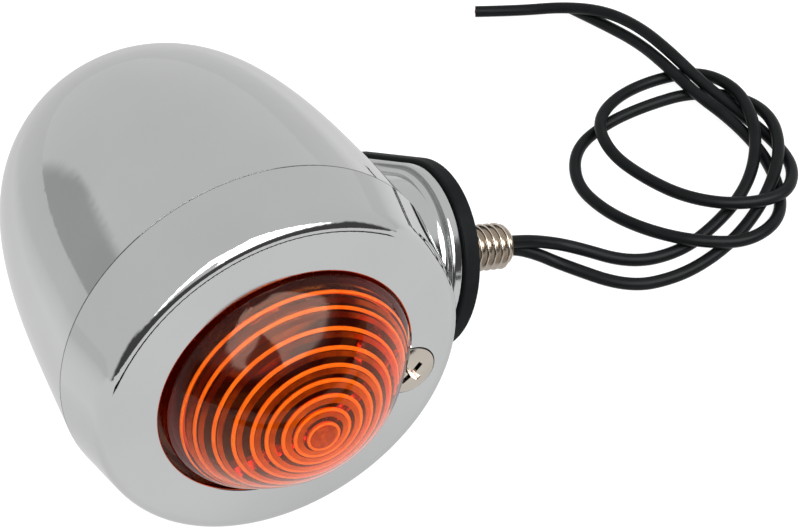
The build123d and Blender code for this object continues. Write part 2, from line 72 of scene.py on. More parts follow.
# ---------------------------------------------------------------- camera
cam_data = bpy.data.cameras.new("camera")
cam = bpy.data.objects.new("camera", cam_data)
bpy.context.scene.collection.objects.link(cam)
bpy.context.scene.camera = cam
right = Vector((0.893957, -0.441145, -0.078941))
down = Vector((-0.379693, -0.651984, -0.656315))
look = Vector((0.238061, 0.616691, -0.750346))
place = Vector((-0.0491192, -0.1821091, 0.2317906))
cam.matrix_world = Matrix((
    (right.x, -down.x, -look.x, place.x),
    (right.y, -down.y, -look.y, place.y),
    (right.z, -down.z, -look.z, place.z),
    (0, 0, 0, 1)))
cam_data.sensor_width = 36.0
cam_data.sensor_fit = "HORIZONTAL"
cam_data.lens = 79.35
cam_data.clip_start = 0.01
cam_data.clip_end = 20.0

# ---------------------------------------------------------------- mesh helpers


def add_object(name, mesh, body=None, material=None):
    o = bpy.data.objects.new(name, mesh)
    bpy.context.scene.collection.objects.link(o)
    if material is not None:
        mesh.materials.append(material)
    if body:
        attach(o, body)
    return o


def mesh_from(name, verts, faces, merge=1e-6, sharp=None):
    me = bpy.data.meshes.new(name)
    bm = bmesh.new()
    vs = [bm.verts.new(v) for v in verts]
    for f in faces:
        ids = []
        for i in f:
            if not ids or vs[i] != ids[-1]:
                ids.append(vs[i])
        if len(set(ids)) >= 3:
            try:
                bm.faces.new(ids)
            except ValueError:
                pass
    bmesh.ops.remove_doubles(bm, verts=bm.verts, dist=merge)
    bmesh.ops.dissolve_degenerate(bm, edges=bm.edges, dist=merge * 0.5)
    bmesh.ops.recalc_face_normals(bm, faces=bm.faces)
    bm.to_mesh(me)
    bm.free()
    smooth(me, sharp)
    return me


def smooth(me, sharp=None):
    """Smooth shading, with edges over the sharp angle (degrees) kept crisp."""
    bm = bmesh.new()
    bm.from_mesh(me)
    for f in bm.faces:
        f.smooth = True
    if sharp is not None:
        limit = math.radians(sharp)
        for e in bm.edges:
            e.smooth = not (len(e.link_faces) == 2 and e.calc_face_angle(0.0) > limit)
    bm.to_mesh(me)
    bm.free()
    me.update()


def lathe(name, profile, segments=128, centre=(0.0, 0.0), frame_m=None, sharp=35.0):
    """A closed solid turned about the lamp's Z through centre, from a closed (r, z) outline in mm."""
    m = LAMP if frame_m is None else frame_m
    verts, faces = [], []
    n = len(profile)
    for j in range(segments):
        a = 2 * math.pi * j / segments
        c, s = math.cos(a), math.sin(a)
        for r, z in profile:
            verts.append(m @ Vector(((centre[0] + r * c) * MM, (centre[1] + r * s) * MM, z * MM)))
    for j in range(segments):
        k = (j + 1) % segments
        for i in range(n):
            h = (i + 1) % n
            if profile[i][0] < 1e-6 and profile[h][0] < 1e-6:
                continue
            faces.append((j * n + i, k * n + i, k * n + h, j * n + h))
    return mesh_from(name, verts, faces, merge=1e-7, sharp=sharp)


def tube_mesh(name, points, radius, ring=16, caps=True):
    """A round tube along points, in the row frame, in metres."""
    P = np.array([tuple(p) for p in points], float)
    T = np.gradient(P, axis=0)
    T /= np.linalg.norm(T, axis=1)[:, None]
    ref = np.array([0.0, 0.0, 1.0]) if abs(T[0][2]) < 0.9 else np.array([1.0, 0.0, 0.0])
    u = np.cross(T[0], ref)
    u /= np.linalg.norm(u)
    verts, faces = [], []
    for i in range(len(P)):
        u = u - T[i] * (u @ T[i])
        u /= np.linalg.norm(u)
        w = np.cross(T[i], u)
        for j in range(ring):
            a = 2 * math.pi * j / ring
            verts.append(Vector(P[i] + radius * (u * math.cos(a) + w * math.sin(a))))
    for i in range(len(P) - 1):
        for j in range(ring):
            k = (j + 1) % ring
            faces.append((i * ring + j, i * ring + k, (i + 1) * ring + k, (i + 1) * ring + j))
    if caps:
        faces.append(tuple(reversed(range(ring))))
        faces.append(tuple((len(P) - 1) * ring + j for j in range(ring)))
    return mesh_from(name, verts, faces, merge=1e-8, sharp=50.0)


def thread_radius(t, major, depth):
    """Radius at phase t of one turn, 0 at the crest."""
    u = min(t % 1.0, 1.0 - t % 1.0)
    c = min(max((u - 0.055) / 0.34, 0.0), 1.0)
    c = 0.45 * c + 0.55 * c * c * (3 - 2 * c)
    return major - depth * c


def threaded(name, m, major, pitch, z0, z1, bore=0.0, end0=(0.9, 0.9), end1=(0.9, 0.9), turns=96, per=14,
             plain=None, plain_r=0.0, depth_k=0.6):
    """Verts and faces of a threaded rod along local Z (mm) from z0 to z1.
    end = (length, drop) of the chamfer; plain = z above which the rod is a plain cylinder."""
    depth = depth_k * pitch
    dz = pitch / per
    rows = int(math.ceil((z1 - z0) / dz)) + per + 2
    verts, faces = [], []
    for j in range(turns + 1):
        a = 2 * math.pi * j / turns
        for k in range(rows):
            z = z0 + (k - per) * dz + pitch * j / turns
            z = min(max(z, z0), z1)
            r = thread_radius((z - pitch * j / turns) / pitch, major, depth)
            if plain is not None:
                f = min(max((z - plain) / (0.5 * pitch), 0.0), 1.0)
                r = r * (1 - f) + plain_r * f
            for d, (length, drop) in ((z - z0, end0), (z1 - z, end1)):
                if length > 0 and d < length:
                    r = min(r, major - drop * (1 - d / length))
            verts.append((r * math.cos(a), r * math.sin(a), z))
    for j in range(turns):
        for k in range(rows - 1):
            faces.append((j * rows + k, (j + 1) * rows + k, (j + 1) * rows + k + 1, j * rows + k + 1))
    lo = [j * rows for j in range(turns)]
    hi = [j * rows + rows - 1 for j in range(turns)]
    base = len(verts)
    if bore > 0:
        for z in (z0, z1):
            for j in range(turns):
                a = 2 * math.pi * j / turns
                verts.append((bore * math.cos(a), bore * math.sin(a), z))
        for j in range(turns):
            k = (j + 1) % turns
            faces.append((lo[j], base + j, base + k, lo[k]))
            faces.append((hi[j], hi[k], base + turns + k, base + turns + j))
            faces.append((base + j, base + turns + j, base + turns + k, base + k))
    else:
        verts.append((0, 0, z0))
        verts.append((0, 0, z1))
        for j in range(turns):
            k = (j + 1) % turns
            faces.append((lo[j], base, lo[k]))
            faces.append((hi[j], hi[k], base + 1))
    return mesh_from(name, [m @ Vector((v[0] * MM, v[1] * MM, v[2] * MM)) for v in verts], faces, merge=2e-7, sharp=48.0)


def boolean(target, cutter, operation="DIFFERENCE"):
    """Applies an exact boolean to target's mesh and removes the cutter."""
    mod = target.modifiers.new("cut", "BOOLEAN")
    mod.operation = operation
    mod.solver = "EXACT"
    mod.object = cutter
    bpy.context.view_layer.update()
    dg = bpy.context.evaluated_depsgraph_get()
    me = bpy.data.meshes.new_from_object(target.evaluated_get(dg))
    target.modifiers.clear()
    old = target.data
    target.data = me
    bpy.data.meshes.remove(old)
    data = cutter.data
    bpy.data.objects.remove(cutter)
    if data.users == 0:
        bpy.data.meshes.remove(data)


def scratch(name, mesh):
    o = bpy.data.objects.new(name, mesh)
    bpy.context.scene.collection.objects.link(o)
    return o


# ---------------------------------------------------------------- materials


class Mat:
    def __init__(self, name):
        self.m = bpy.data.materials.new(name)
        self.m.use_nodes = True
        self.t = self.m.node_tree
        self.t.nodes.clear()
        self.out = self.t.nodes.new("ShaderNodeOutputMaterial")
        self.b = self.t.nodes.new("ShaderNodeBsdfPrincipled")
        self.link(self.b.outputs[0], self.out.inputs["Surface"])
        self.coord = self.t.nodes.new("ShaderNodeTexCoord")

    def link(self, a, b):
        self.t.links.new(a, b)

    def set(self, **kw):
        names = {"color": "Base Color", "metallic": "Metallic", "rough": "Roughness", "ior": "IOR", "trans": "Transmission Weight",
                 "spec": "Specular IOR Level", "coat": "Coat Weight", "coat_rough": "Coat Roughness", "sheen": "Sheen Weight",
                 "emit": "Emission Color", "emit_s": "Emission Strength", "alpha": "Alpha", "sub": "Subsurface Weight",
                 "sub_r": "Subsurface Radius", "sub_s": "Subsurface Scale"}
        for k, v in kw.items():
            s = self.b.inputs[names[k]]
            if isinstance(v, (tuple, list)) and len(v) == 3 and s.type == "RGBA":
                v = (*v, 1.0)
            s.default_value = v
        return self

    def node(self, kind, **kw):
        n = self.t.nodes.new(kind)
        for k, v in kw.items():
            if k in n.inputs:
                n.inputs[k].default_value = v
            else:
                setattr(n, k, v)
        return n

    def noise(self, scale, detail=4.0, rough=0.5, distortion=0.0, stretch=None):
        n = self.node("ShaderNodeTexNoise")
        n.inputs["Scale"].default_value = scale
        n.inputs["Detail"].default_value = detail
        n.inputs["Roughness"].default_value = rough
        n.inputs["Distortion"].default_value = distortion
        if stretch:
            mp = self.node("ShaderNodeMapping")
            mp.inputs["Scale"].default_value = stretch
            self.link(self.coord.outputs["Object"], mp.inputs["Vector"])
            self.link(mp.outputs[0], n.inputs["Vector"])
        else:
            self.link(self.coord.outputs["Object"], n.inputs["Vector"])
        return n.outputs["Fac"]

    def math(self, op, a, b=None, clamp=False):
        n = self.node("ShaderNodeMath", operation=op)
        n.use_clamp = clamp
        for i, v in enumerate((a, b)):
            if v is None:
                continue
            if isinstance(v, (int, float)):
                n.inputs[i].default_value = v
            else:
                self.link(v, n.inputs[i])
        return n.outputs[0]

    def span(self, v, a, b, c, d):
        n = self.node("ShaderNodeMapRange")
        n.inputs[1].default_value, n.inputs[2].default_value = a, b
        n.inputs[3].default_value, n.inputs[4].default_value = c, d
        self.link(v, n.inputs[0])
        return n.outputs[0]

    def mix(self, fac, a, b):
        n = self.node("ShaderNodeMix", data_type="RGBA")
        if isinstance(fac, (int, float)):
            n.inputs[0].default_value = fac
        else:
            self.link(fac, n.inputs[0])
        for i, v in ((6, a), (7, b)):
            if isinstance(v, (tuple, list)):
                n.inputs[i].default_value = (*v, 1.0)
            else:
                self.link(v, n.inputs[i])
        return n.outputs[2]

    def ramp(self, fac, stops):
        n = self.node("ShaderNodeValToRGB")
        e = n.color_ramp.elements
        while len(e) < len(stops):
            e.new(0.5)
        for q, (p, c) in zip(e, stops):
            q.position = p
            q.color = (*c, 1.0)
        self.link(fac, n.inputs[0])
        return n.outputs[0]

    def bump(self, height, strength, distance):
        n = self.node("ShaderNodeBump")
        n.inputs["Strength"].default_value = strength
        n.inputs["Distance"].default_value = distance
        self.link(height, n.inputs["Height"])
        self.link(n.outputs[0], self.b.inputs["Normal"])
        return n

    # lamp-frame coordinates of the shaded point, in metres
    def dot(self, a, v):
        n = self.node("ShaderNodeVectorMath", operation="DOT_PRODUCT")
        self.link(a, n.inputs[0])
        n.inputs[1].default_value = tuple(v)
        return n.outputs["Value"]

    def lamp_coords(self):
        d = self.node("ShaderNodeVectorMath", operation="SUBTRACT")
        self.link(self.coord.outputs["Object"], d.inputs[0])
        d.inputs[1].default_value = tuple(O)
        v = d.outputs[0]
        return self.dot(v, X), self.dot(v, Y), self.dot(v, Z)

    def lamp_normal(self):
        v = self.coord.outputs["Normal"]
        return self.dot(v, X), self.dot(v, Y), self.dot(v, Z)


def plated(name, color, rough, tint=0.04, scale=900.0, wobble=0.0, streak=None, metallic=1.0):
    """A plated or polished metal: fine tone variation, fingerprints of roughness and a shallow bump."""
    m = Mat(name).set(metallic=metallic, rough=rough)
    n1 = m.noise(scale, 5.0, 0.6, stretch=streak)
    n2 = m.noise(scale * 0.07, 3.0)
    lo = tuple(c * (1 - tint) for c in color)
    hi = tuple(min(1.0, c * (1 + tint)) for c in color)
    m.link(m.ramp(n2, ((0.3, lo), (0.7, hi))), m.b.inputs["Base Color"])
    m.link(m.span(n1, 0.3, 0.7, rough * 0.75, rough * 1.35), m.b.inputs["Roughness"])
    if wobble:
        m.bump(n1, wobble, 0.00002)
    return m


def chrome(name, inside=False, lip=False):
    m = Mat(name).set(metallic=1.0, rough=0.05)
    wave = m.noise(95.0, 2.0, 0.4)
    haze = m.noise(420.0, 5.0, 0.65)
    fine = m.noise(5200.0, 3.0, 0.6)
    col = m.ramp(m.noise(60.0, 3.0), ((0.3, (0.488, 0.494, 0.494)), (0.7, (0.512, 0.517, 0.516))))
    rough = m.span(haze, 0.35, 0.7, 0.035, 0.075)
    height = m.math("ADD", m.math("MULTIPLY", wave, 0.8), m.math("MULTIPLY", fine, 0.02))
    if lip:
        # the flange's cast edge was plated over a rougher surface
        x, y, z = m.lamp_coords()
        edge = m.span(x, 0.0328, 0.0342, 0.0, 1.0)
        pits = m.noise(1500.0, 4.0, 0.7)
        height = m.math("ADD", height, m.math("MULTIPLY", m.math("MULTIPLY", pits, edge), 1.1))
        rough = m.math("ADD", rough, m.math("MULTIPLY", edge, 0.05))
    if inside:
        x, y, z = m.lamp_coords()
        nx, ny, nz = m.lamp_normal()
        r2 = m.math("SQRT", m.math("ADD", m.math("MULTIPLY", x, x), m.math("MULTIPLY", y, y)))
        rad = m.math("ADD", m.math("MULTIPLY", x, nx), m.math("MULTIPLY", y, ny))
        inward = m.math("LESS_THAN", rad, -0.0006)
        up = m.math("GREATER_THAN", nz, 0.25)
        near = m.math("LESS_THAN", r2, 0.02845)
        mask = m.math("MULTIPLY", m.math("MAXIMUM", inward, up), near)
        # the inside faces painted near black: the raw cast surface, darkened further as painted shade
        cast_and_painted_shade = m.ramp(m.noise(700.0, 6.0, 0.7), ((0.3, (0.040, 0.040, 0.041)), (0.7, (0.085, 0.085, 0.086))))
        col = m.mix(mask, col, cast_and_painted_shade)
        rough = m.math("ADD", rough, m.math("MULTIPLY", mask, m.span(haze, 0.3, 0.7, 0.38, 0.55)))
        height = m.math("ADD", height, m.math("MULTIPLY", m.math("MULTIPLY", haze, mask), 2.0))
    m.link(col, m.b.inputs["Base Color"])
    m.link(rough, m.b.inputs["Roughness"])
    m.bump(height, 0.10, 0.00006)
    return m


MAT_SHELL = chrome("chrome_shell", inside=True, lip=True)
MAT_BEZEL = chrome("chrome_bezel")

# amber acrylic, with a faint painted glow in its emission
lens_m = Mat("amber_acrylic").set(color=(1.0, 0.30, 0.06), trans=1.0, ior=1.49, rough=0.01, spec=0.07, emit=(1.0, 0.03, 0.0), emit_s=0.010)
lens_m.b.inputs["Specular Tint"].default_value = (0.50, 0.36, 0.30, 1.0)
swirl = lens_m.noise(180.0, 3.0, 0.5, 0.6)
lens_m.link(lens_m.ramp(swirl, ((0.25, (1.0, 0.26, 0.045)), (0.75, (1.0, 0.34, 0.070)))), lens_m.b.inputs["Base Color"])
lens_m.link(lens_m.span(lens_m.noise(900.0, 4.0), 0.35, 0.75, 0.0, 0.03), lens_m.b.inputs["Roughness"])
lens_m.bump(lens_m.noise(260.0, 2.0), 0.05, 0.00004)

# the moulded rings inside the lens, painted bright orange with a painted glow standing in for the light the amber rings
# gather
rib_m = Mat("amber_ribs").set(rough=0.30, ior=1.49, spec=0.1, emit=(1.0, 0.27, 0.02), emit_s=0.17)
rib_m.link(rib_m.ramp(rib_m.noise(520.0, 4.0, 0.6), ((0.3, (0.86, 0.40, 0.10)), (0.7, (0.95, 0.54, 0.16)))), rib_m.b.inputs["Base Color"])
rib_m.bump(rib_m.noise(900.0, 3.0), 0.1, 0.00004)


# the inner flanks of those rings, with painted light and shade: dark towards the upper left, painted lit orange with a
# painted glow towards the lower right of the lens
flank_m = Mat("amber_flanks").set(rough=0.40, ior=1.49, spec=0.1)
fx, fy, fz = flank_m.lamp_coords()
painted_lit_side = flank_m.math("ADD", flank_m.math("MULTIPLY", fx, 0.55), flank_m.math("MULTIPLY", fy, -0.84))
painted_lit_side = flank_m.math("ADD", painted_lit_side, flank_m.math("MULTIPLY", flank_m.math("SUBTRACT", flank_m.noise(240.0, 4.0, 0.6), 0.5), 0.014))
painted_lit_side = flank_m.span(painted_lit_side, -0.012, 0.010, 0.0, 1.0)
# painted light and shade: the dark colour is the shaded side, the orange colour and its glow the lit side
flank_m.link(flank_m.mix(painted_lit_side, (0.060, 0.008, 0.004), (0.80, 0.33, 0.055)), flank_m.b.inputs["Base Color"])
flank_m.link(flank_m.mix(painted_lit_side, (0.012, 0.001, 0.0), (0.22, 0.050, 0.003)), flank_m.b.inputs["Emission Color"])
flank_m.b.inputs["Emission Strength"].default_value = 1.0


# the flat middle of the lens, inside the smallest ring, with a faint painted glow
centre_m = Mat("amber_centre").set(rough=0.35, ior=1.49, spec=0.1, emit=(1.0, 0.16, 0.02), emit_s=0.04)
centre_m.link(centre_m.ramp(centre_m.noise(640.0, 4.0, 0.6, 1.2), ((0.3, (0.30, 0.09, 0.03)), (0.7, (0.56, 0.21, 0.05)))), centre_m.b.inputs["Base Color"])


def rubber(name, base, rough, grain=2600.0, depth=0.25, spec=0.4):
    m = Mat(name).set(rough=rough, spec=spec)
    a = m.noise(grain, 5.0, 0.65)
    b = m.noise(160.0, 4.0, 0.6)
    lo = tuple(c * 0.7 for c in base)
    hi = tuple(c * 1.5 for c in base)
    m.link(m.ramp(b, ((0.3, lo), (0.72, hi))), m.b.inputs["Base Color"])
    m.link(m.span(b, 0.3, 0.7, rough * 0.88, min(1.0, rough * 1.12)), m.b.inputs["Roughness"])
    m.bump(m.math("ADD", a, m.math("MULTIPLY", b, 0.5)), depth, 0.00005)
    return m


MAT_GASKET = rubber("gasket_rubber", (0.0042, 0.0050, 0.0054), 0.58, spec=0.07)
MAT_LENS_GASKET = rubber("lens_gasket_rubber", (0.014, 0.014, 0.015), 0.7)
MAT_WIRE = rubber("wire_pvc", (0.0034, 0.0040, 0.0044), 0.38, grain=3800.0, depth=0.10, spec=0.10)
MAT_NICKEL = plated("nickel_stud", (0.57, 0.505, 0.435), 0.20, tint=0.12, scale=1600.0, wobble=0.25)
MAT_SCREW = plated("nickel_screw", (0.50, 0.455, 0.395), 0.12, tint=0.06, scale=1400.0, wobble=0.12)
MAT_ZINC = plated("zinc_plate", (0.56, 0.57, 0.58), 0.30, tint=0.10, scale=1100.0, wobble=0.3)
MAT_SOCKET = plated("socket_plate", (0.50, 0.50, 0.49), 0.34, tint=0.12, scale=900.0, wobble=0.35, streak=(1.0, 1.0, 0.2))
MAT_BRASS = plated("lamp_brass", (0.62, 0.44, 0.19), 0.28, tint=0.14, scale=900.0, wobble=0.3)
MAT_SOLDER = plated("solder", (0.50, 0.50, 0.50), 0.38, tint=0.12, scale=1300.0, wobble=0.5)
MAT_SPRING = plated("spring_steel", (0.42, 0.42, 0.42), 0.26, tint=0.1, scale=1500.0, wobble=0.2)
MAT_TUNGSTEN = plated("tungsten", (0.22, 0.22, 0.23), 0.42, tint=0.2, scale=2600.0, wobble=0.3)
MAT_NICKEL_WIRE = plated("support_wire", (0.45, 0.44, 0.42), 0.3, tint=0.1, scale=2400.0, wobble=0.2)
MAT_COPPER = plated("copper_strands", (0.62, 0.27, 0.13), 0.26, tint=0.16, scale=2600.0, wobble=0.3)

board = Mat("phenolic_board").set(rough=0.55, spec=0.4)
board.link(board.ramp(board.noise(600.0, 6.0, 0.7, stretch=(1.0, 0.25, 1.0)), ((0.3, (0.085, 0.036, 0.015)), (0.7, (0.17, 0.078, 0.034)))),
           board.b.inputs["Base Color"])
board.bump(board.noise(1500.0, 4.0), 0.2, 0.00004)
MAT_BOARD = board

black = Mat("black_glass").set(rough=0.08, spec=0.6)
black.link(black.ramp(black.noise(400.0, 4.0), ((0.3, (0.012, 0.012, 0.016)), (0.7, (0.03, 0.03, 0.036)))), black.b.inputs["Base Color"])
black.bump(black.noise(500.0, 3.0), 0.1, 0.00005)
MAT_BLACK_GLASS = black

glass = Mat("bulb_glass").set(color=(0.97, 0.975, 0.965), trans=1.0, ior=1.47, rough=0.0)
glass.link(glass.ramp(glass.noise(120.0, 2.0), ((0.3, (0.955, 0.965, 0.955)), (0.7, (0.985, 0.985, 0.98)))), glass.b.inputs["Base Color"])
glass.bump(glass.noise(90.0, 2.0), 0.08, 0.0001)
MAT_BULB = glass


def dress(node, material):
    me = NODES[node].data
    me.materials.clear()
    me.materials.append(material.m)
    for p in me.polygons:
        p.material_index = 0


for node, material in {
        "housing_shell": MAT_SHELL, "bezel_ring": MAT_BEZEL, "bezel_screw": MAT_SCREW, "lens": lens_m, "lens_gasket": MAT_LENS_GASKET,
        "mounting_gasket": MAT_GASKET, "mounting_stud": MAT_NICKEL, "stud_jam_nut": MAT_ZINC, "stud_lock_washer": MAT_ZINC,
        "socket_shell": MAT_SOCKET, "socket_bracket": MAT_SOCKET, "bracket_screws": MAT_ZINC, "ground_terminal": MAT_ZINC,
        "socket_base_disc": MAT_BOARD, "hot_terminal": MAT_BRASS, "contact_plunger": MAT_BOARD, "contact_tip": MAT_BRASS,
        "contact_spring": MAT_SPRING, "bulb_glass": MAT_BULB, "bulb_stem": MAT_BULB, "filament_supports": MAT_NICKEL_WIRE,
        "bulb_filament": MAT_TUNGSTEN, "bulb_base": MAT_BRASS, "bulb_pins": MAT_BRASS, "bulb_insulator": MAT_BLACK_GLASS,
        "bulb_contact": MAT_SOLDER, "inner_wire_hot": MAT_WIRE, "inner_wire_ground": MAT_WIRE}.items():
    if node in NODES:
        dress(node, material)

# ---------------------------------------------------------------- the two loose leads
WIRE_D = 0.0022
SCREW_TURN = 54.7
# control points in mm, in the row frame
ROUTE_1 = [
    (35.62, -3.62, 10.96), (41.41, -3.62, 8.46), (45.89, -4.08, 6.25), (50.96, -5.66, 3.70),
    (58.62, -12.47, 1.49), (67.37, -14.22, 1.12), (75.67, -12.42, 1.64), (83.90, -8.89, 2.46),
    (90.21, -3.17, 3.29), (94.72, 4.49, 4.11), (96.55, 13.16, 3.95), (94.30, 21.91, 1.95), (86.28, 24.92, 1.31),
    (77.07, 23.44, 2.51), (69.92, 18.46, 3.70), (67.84, 9.85, 4.02), (69.81, 1.15, 4.34), (73.48, -6.84, 4.66),
    (80.07, -12.99, 4.97), (88.95, -14.43, 4.03), (95.07, -8.15, 2.22), (96.37, 0.78, 1.12), (94.56, 9.35, 1.85),
    (91.92, 17.55, 3.78), (90.27, 25.98, 5.70), (89.04, 34.65, 5.79), (86.45, 42.98, 4.79), (81.49, 50.03, 2.96),
    (73.83, 55.84, 1.12), (66.69, 59.95, 1.12)]
ROUTE_2 = [
    (34.78, -2.86, 9.00), (40.56, -2.86, 6.51), (44.60, -4.38, 4.20), (47.94, -6.76, 1.89),
    (55.49, -16.55, 1.12), (63.79, -18.89, 1.12), (72.42, -17.96, 1.12), (80.83, -15.01, 1.55),
    (88.39, -10.56, 3.19), (94.48, -4.34, 4.12), (98.30, 3.95, 3.22), (97.64, 12.67, 1.25), (90.67, 18.46, 1.12),
    (81.87, 19.77, 1.12), (72.84, 19.58, 1.12), (64.41, 16.74, 1.12), (60.06, 8.94, 1.12), (60.69, -0.03, 2.08),
    (64.01, -8.20, 3.04), (69.28, -15.38, 3.99), (77.34, -19.59, 3.11), (85.87, -17.34, 2.12),
    (90.80, -9.78, 1.12), (93.00, -1.05, 1.12), (92.16, 7.57, 2.19), (89.68, 16.08, 3.25), (88.60, 24.68, 4.09),
    (88.15, 33.53, 3.09), (85.71, 42.85, 2.09), (83.31, 50.81, 1.12)]


def lead(name, route, node):
    c = bpy.data.curves.new(name, "CURVE")
    c.dimensions = "3D"
    s = c.splines.new("NURBS")
    s.points.add(len(route) - 1)
    for p, q in zip(s.points, route):
        p.co = (q[0] * MM, q[1] * MM, q[2] * MM, 1.0)
    s.order_u = 3
    s.use_endpoint_u = True
    s.resolution_u = 10
    c.resolution_u = 10
    # the line itself, read before the tube is given its thickness
    probe = bpy.data.objects.new(name + "_line", c)
    bpy.context.scene.collection.objects.link(probe)
    bpy.context.view_layer.update()
    dg = bpy.context.evaluated_depsgraph_get()
    me = bpy.data.meshes.new_from_object(probe.evaluated_get(dg))
    line = [v.co.copy() for v in me.vertices]
    bpy.data.meshes.remove(me)
    bpy.data.objects.remove(probe)
    c.bevel_depth = WIRE_D / 2
    c.bevel_resolution = 8
    c.use_fill_caps = True
    c.materials.append(MAT_WIRE.m)
    o = bpy.data.objects.new(name, c)
    bpy.context.scene.collection.objects.link(o)
    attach(o, "housing")
    if node in NODES:
        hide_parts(node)
    # copper strands in the cut end: a centre one, six round it, twelve outside
    end, t = line[-1], (line[-1] - line[-3]).normalized()
    u = t.cross(Vector((0, 0, 1))).normalized()
    w = t.cross(u)
    bm = bmesh.new()
    strands = [(0.0, 0.0)] + [(0.135, k * 60.0) for k in range(6)] + [(0.262, k * 30.0 + 8.0) for k in range(12)]
    for i, (r, a) in enumerate(strands):
        a = math.radians(a)
        cpt = end + (u * math.cos(a) + w * math.sin(a)) * r * MM
        out = (0.10 + 0.05 * math.sin(i * 2.4)) * MM
        rings = []
        for d, rr in ((-0.6 * MM, 0.064), (out * 0.7, 0.064), (out, 0.048)):
            rings.append([bm.verts.new(cpt + t * d + (u * math.cos(b) + w * math.sin(b)) * rr * MM)
                          for b in (2 * math.pi * q / 10 for q in range(10))])
        for ra, rb in zip(rings, rings[1:]):
            for q in range(10):
                bm.faces.new((ra[q], ra[(q + 1) % 10], rb[(q + 1) % 10], rb[q]))
        bm.faces.new(rings[-1])
        bm.faces.new(list(reversed(rings[0])))
    bmesh.ops.recalc_face_normals(bm, faces=bm.faces)
    me = bpy.data.meshes.new(name + "_strands")
    bm.to_mesh(me)
    bm.free()
    smooth(me, 40.0)
    st = add_object(name + "_strands", me, "housing", MAT_COPPER.m)
    return o


lead("lead_1", ROUTE_1, "wire_1")
lead("lead_2", ROUTE_2, "wire_2")

SC = (20.4, -0.4)        # the bezel screw's centre
LC = (0.3, 0.3)          # the lens's centre

# ---------------------------------------------------------------- lens body and its moulded rings


def clamped(points, t0, t1, n):
    """n points of a smooth line through points, with the end directions t0 and t1."""
    P = np.array(points, float)
    k = len(P)
    u = np.r_[0.0, np.cumsum(np.linalg.norm(np.diff(P, axis=0), axis=1))]
    A = np.zeros((k, k))
    B = np.zeros((k, 2))
    A[0, 0] = A[-1, -1] = 1.0
    B[0] = np.array(t0, float) / np.linalg.norm(t0)
    B[-1] = np.array(t1, float) / np.linalg.norm(t1)
    for i in range(1, k - 1):
        a, b = u[i] - u[i - 1], u[i + 1] - u[i]
        A[i, i - 1], A[i, i], A[i, i + 1] = b, 2 * (a + b), a
        B[i] = 3 * (b * (P[i] - P[i - 1]) / a + a * (P[i + 1] - P[i]) / b)
    D = np.linalg.solve(A, B)
    out = []
    for v in np.linspace(0, u[-1], n):
        i = min(int(np.searchsorted(u, v, "right")) - 1, k - 2)
        h = u[i + 1] - u[i]
        q = (v - u[i]) / h
        out.append(tuple((2 * q ** 3 - 3 * q * q + 1) * P[i] + (q ** 3 - 2 * q * q + q) * h * D[i]
                         + (3 * q * q - 2 * q ** 3) * P[i + 1] + (q ** 3 - q * q) * h * D[i + 1]))
    return out


DOME = [(19.2, 0.3), (18.8, 1.15), (18.1, 2.2), (17.1, 3.4), (15.9, 4.75), (14.5, 6.15), (12.9, 7.55), (11.0, 8.9),
        (9.0, 10.1), (6.9, 11.05), (4.7, 11.75), (2.4, 12.15), (0.0, 12.3)]
INNER = [(18.05, -1.5), (17.85, 0.25), (17.35, 1.7), (16.3, 3.25), (14.8, 4.8), (13.0, 6.15), (10.9, 7.4),
         (8.6, 8.5), (6.4, 9.3), (4.2, 9.85), (2.0, 10.15), (0.0, 10.25)]
outer_line = clamped(DOME, (-0.25, 1.0), (-1.0, 0.0), 64)
inner_line = clamped(INNER, (-0.1, 1.0), (-1.0, 0.0), 64)
SEG = 160
full = scratch("lens_full", lathe("lens_full", [(0.0, -4.7), (24.6, -4.7), (24.6, -2.45), (19.2, -2.45)] + outer_line, SEG, LC))
hollow = scratch("lens_hollow", lathe("lens_hollow", [(0.0, -6.0), (18.05, -6.0)] + inner_line, SEG, LC))
boolean(hollow, scratch("wall", lathe("wall", [(0.0, -8.0), (6.85, -8.0), (6.85, 20.0), (0.0, 20.0)], 96, SC)))
boolean(full, hollow)
boolean(full, scratch("notch", lathe("notch", [(0.0, -8.0), (5.1, -8.0), (5.1, 20.0), (0.0, 20.0)], 96, SC)))
smooth(full.data, 35.0)
lm = full.data
bpy.data.objects.remove(full)
lm.name = "lens_body"
lens_body = add_object("lens_body", lm, "bezel", lens_m.m)
lm.materials.clear()
lm.materials.append(lens_m.m)
for p in lm.polygons:
    p.material_index = 0
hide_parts("lens")

il = np.array(inner_line)
RIBS = [(17.35, 0.0, 0.0, 0.26), (16.05, -0.2, 0.0, 0.28), (13.95, -0.3, 0.0, 0.30), (11.75, -0.15, 0.0, 0.30), (9.55, -0.1, 0.1, 0.30),
        (7.7, -0.15, 0.05, 0.28), (5.7, 0.0, -0.05, 0.27), (3.95, -0.1, -0.3, 0.25), (2.2, 0.05, -0.75, 0.22)]


def rings(name, rows, depth, rise, material):
    """Rounded ridges round the lens's inner face: rows of (radius, x and y off centre, half width) in mm."""
    verts, faces = [], []
    for row in rows:
        ring(verts, faces, row, depth, rise)
    return add_object(name, mesh_from(name, verts, faces, merge=1e-7, sharp=60.0), "bezel", material.m)


